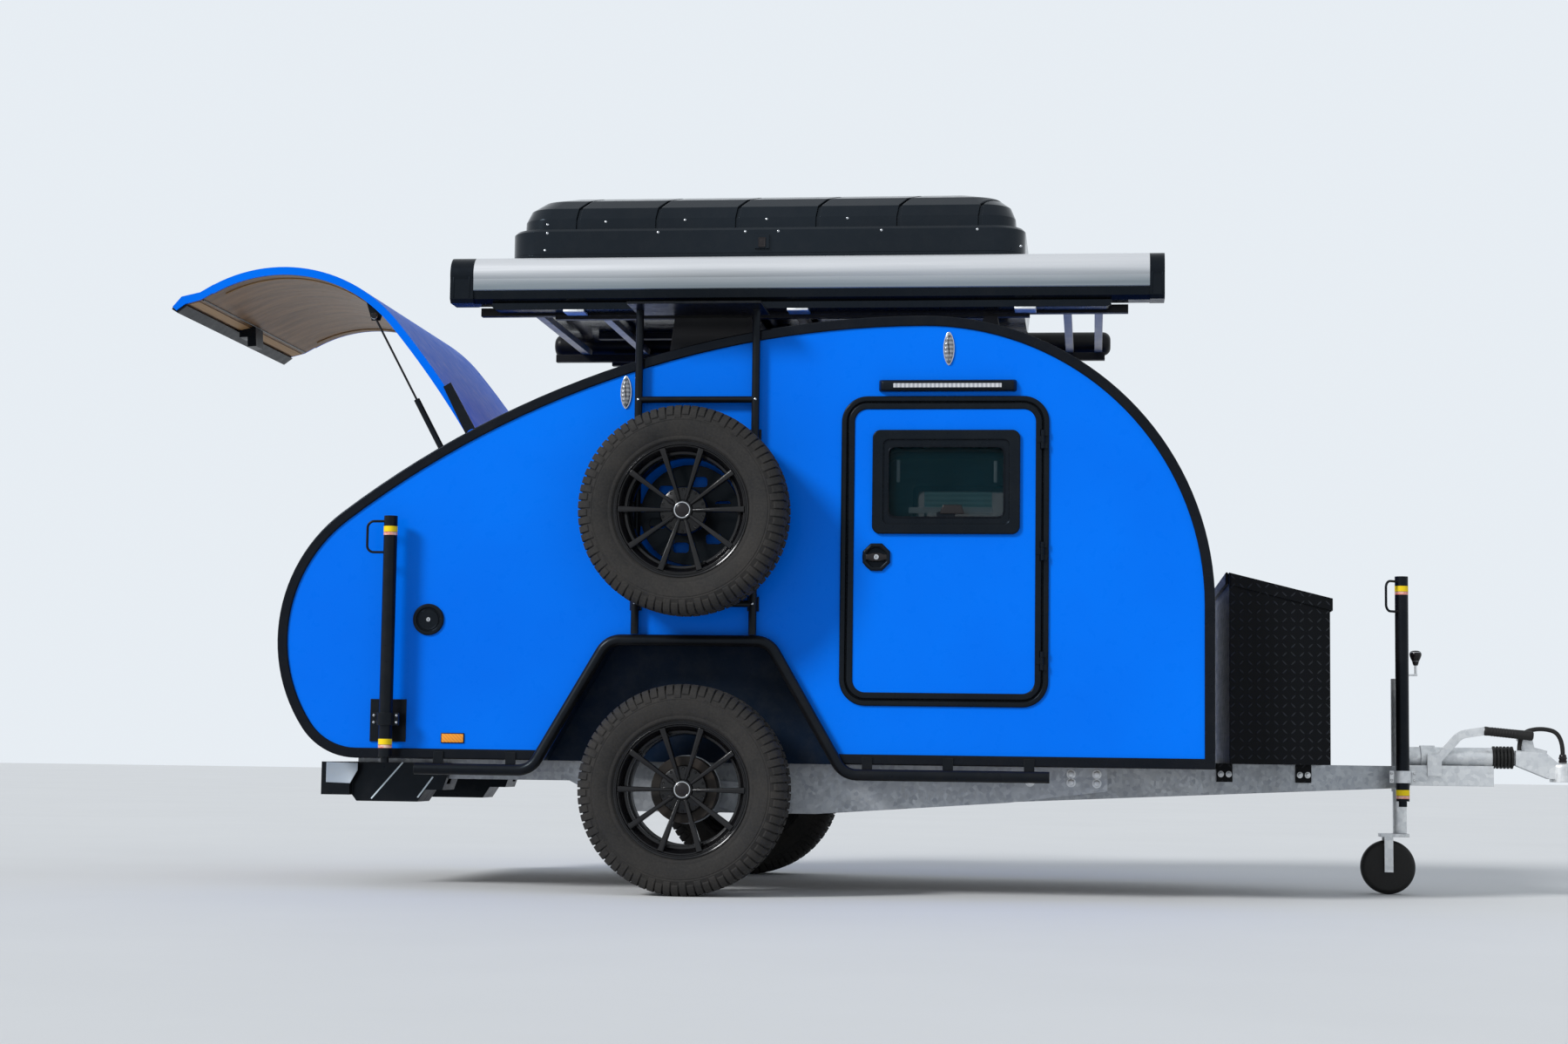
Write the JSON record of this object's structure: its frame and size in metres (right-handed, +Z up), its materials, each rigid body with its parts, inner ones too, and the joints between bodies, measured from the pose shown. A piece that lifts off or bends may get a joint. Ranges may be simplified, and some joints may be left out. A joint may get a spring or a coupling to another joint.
{
  "type": "teardrop trailer",
  "caption": "Small teardrop-shaped sleeping trailer with raised rear hatch, side doors, roof rack, awning case, roof shell, side spare wheel, tool chest and towing drawbar.",
  "frame": {"origin": "centre of the ball socket in the coupling head", "axes": "+X forwards to the tow vehicle, +Y to the trailer's left, +Z up; the floor lies at z = -0.455"},
  "size_m": [5.1248, 2.0748, 2.58],
  "materials": {
    "black_plastic": "grained",
    "awning_aluminium": "anodised",
    "axle_galvanised": "dull galvanised",
    "galvanised_steel": "dull galvanised",
    "cable_black": "smooth sheath",
    "coupling_zinc": "zinc plated with a black nose",
    "blue_body_paint": "glossy enamel",
    "smoked_pane": "smoked acrylic",
    "bellows_rubber": "ribbed rubber",
    "edge_trim_black": "glossy black extrusion",
    "floor_board": "sealed dark underside",
    "stand_black": "satin black with coloured bands",
    "birch_ply": "oiled plywood",
    "lever_zinc": "zinc plated with black grip",
    "black_coated_steel": "satin powder coat",
    "hatch_skin": "glossy outside, brown laminate inside",
    "hatch_surround_paint": "glossy enamel",
    "brake_drum": "dark cast",
    "jockey_rubber": "solid rubber",
    "mattress_cover": "woven",
    "pole_tube_black": "satin",
    "crossbar_aluminium": "mill finish",
    "lamp_lens": "ribbed red lens",
    "wheel_black": "satin black with turned edges",
    "rack_black": "satin powder coat",
    "shell_black": "moulded, glossy",
    "port_cap": "moulded black cap with a lock",
    "tyre_rubber": "matt rubber",
    "strut_cylinder_black": "satin",
    "strut_rod_steel": "polished",
    "chequer_plate": "black tread plate",
    "clear_lens": "ribbed lens",
    "wheel_well_blue": "satin"
  },
  "bodies": {
    "trailer": {"awning_black_parts": "black_plastic", "awning_case": "awning_aluminium", "axle": "axle_galvanised", "chassis_frame": "galvanised_steel", "coupling_cable": "cable_black", "coupling_head": "coupling_zinc", "door_frames": "black_plastic", "drawbar_bellows": "bellows_rubber", "drawbar_clamps": "galvanised_steel", "edge_trims": "edge_trim_black", "floor_panel": "floor_board", "galley_cabinet": "birch_ply", "handbrake_lever": "lever_zinc", "hatch_surround": "hatch_surround_paint", "mattress": "mattress_cover", "overrun_housing": "galvanised_steel", "pole_tube": "pole_tube_black", "rack_crossbars": "crossbar_aluminium", "rear_lamps": "lamp_lens", "rear_light_bar": "black_coated_steel", "rear_stand_brackets": "black_coated_steel", "roof_rack": "rack_black", "roof_shell_base": "shell_black", "roof_skin": "blue_body_paint", "service_port": "port_cap", "side_tubes": "black_coated_steel", "side_wall_left": "blue_body_paint", "side_wall_right": "blue_body_paint", "spare_ladder": "black_coated_steel", "spare_rim": "wheel_black", "spare_tyre": "tyre_rubber", "toolbox_body": "chequer_plate", "wall_lamps": "clear_lens", "wheel_wells": "wheel_well_blue"},
    "hatch": {"hatch_panel": "hatch_skin", "hatch_fittings": "black_coated_steel"},
    "strut_barrels": {"strut_cylinders": "strut_cylinder_black"},
    "strut_pistons": {"strut_rods": "strut_rod_steel"},
    "door_right": {"door_right": "blue_body_paint", "door_right_fittings": "black_plastic", "door_right_pane": "smoked_pane"},
    "door_left": {"door_left": "blue_body_paint", "door_left_fittings": "black_plastic", "door_left_pane": "smoked_pane"},
    "wheel_right": {"tyre_right": "tyre_rubber", "rim_right": "wheel_black", "hub_right": "brake_drum"},
    "wheel_left": {"tyre_left": "tyre_rubber", "rim_left": "wheel_black", "hub_left": "brake_drum"},
    "jockey_slide": {"jockey_leg": "galvanised_steel"},
    "jockey_castor": {"jockey_fork": "galvanised_steel"},
    "jockey_roller": {"jockey_wheel": "jockey_rubber"},
    "toolbox_cover": {"toolbox_lid": "chequer_plate"},
    "shell_cover": {"roof_shell_lid": "shell_black"},
    "stand_rear_right": {"rear_stand_right": "stand_black"},
    "stand_rear_left": {"rear_stand_left": "stand_black"},
    "stand_front": {"front_stand": "stand_black"}
  },
  "joints": [
    {"name": "hatch_hinge", "type": "hinge", "parent": "trailer", "child": "hatch", "pos_m": [-3.926, 0, 1.155], "axis": [0, -1, 0], "range_deg": [0, 87]},
    {"name": "strut_swing", "type": "hinge", "parent": "trailer", "child": "strut_barrels", "pos_m": [-3.945, 0, 0.91], "axis": [0, -1, 0], "range_deg": [0, 77.43]},
    {"name": "strut_stroke", "type": "slide", "parent": "strut_barrels", "child": "strut_pistons", "axis": [-0.475, 0, 0.88], "range_m": [-0.32223, 0]},
    {"name": "door_right_hinge", "type": "hinge", "parent": "trailer", "child": "door_right", "pos_m": [-1.8785, -0.797, 0.745], "axis": [0, 0, 1], "range_deg": [0, 110]},
    {"name": "door_left_hinge", "type": "hinge", "parent": "trailer", "child": "door_left", "pos_m": [-1.8785, 0.797, 0.745], "axis": [0, 0, -1], "range_deg": [0, 110]},
    {"name": "wheel_right_spin", "type": "hinge", "parent": "trailer", "child": "wheel_right", "pos_m": [-3.1, -0.905, -0.093], "axis": [0, 1, 0], "continuous": true},
    {"name": "wheel_left_spin", "type": "hinge", "parent": "trailer", "child": "wheel_left", "pos_m": [-3.1, 0.905, -0.093], "axis": [0, 1, 0], "continuous": true},
    {"name": "jockey_height", "type": "slide", "parent": "trailer", "child": "jockey_slide", "axis": [0, 0, 1], "range_m": [0, 0.145]},
    {"name": "jockey_swivel", "type": "hinge", "parent": "jockey_slide", "child": "jockey_castor", "pos_m": [-0.565, 0.15, -0.235], "axis": [0, 0, 1], "continuous": true},
    {"name": "jockey_spin", "type": "hinge", "parent": "jockey_castor", "child": "jockey_roller", "pos_m": [-0.61, 0.15, -0.355], "axis": [0, 1, 0], "continuous": true},
    {"name": "toolbox_lid_hinge", "type": "hinge", "parent": "trailer", "child": "toolbox_cover", "pos_m": [-1.233, 0, 0.691], "axis": [0, -1, 0], "range_deg": [0, 80]},
    {"name": "shell_lid_hinge", "type": "hinge", "parent": "trailer", "child": "shell_cover", "pos_m": [-2.894, 0.576, 1.844], "axis": [-1, 0, 0], "range_deg": [0, 70]},
    {"name": "stand_rear_right_slide", "type": "slide", "parent": "trailer", "child": "stand_rear_right", "axis": [0, 0, -1], "range_m": [0, 0.43]},
    {"name": "stand_rear_left_slide", "type": "slide", "parent": "trailer", "child": "stand_rear_left", "axis": [0, 0, -1], "range_m": [0, 0.43]},
    {"name": "stand_front_slide", "type": "slide", "parent": "trailer", "child": "stand_front", "axis": [0, 0, -1], "range_m": [0, 0.317]}
  ],
  "couplings": [
    {"joint": "strut_swing", "follows": "hatch_hinge", "ratio": 0.88906},
    {"joint": "strut_stroke", "follows": "hatch_hinge", "m_per_rad": -0.212}
  ]
}
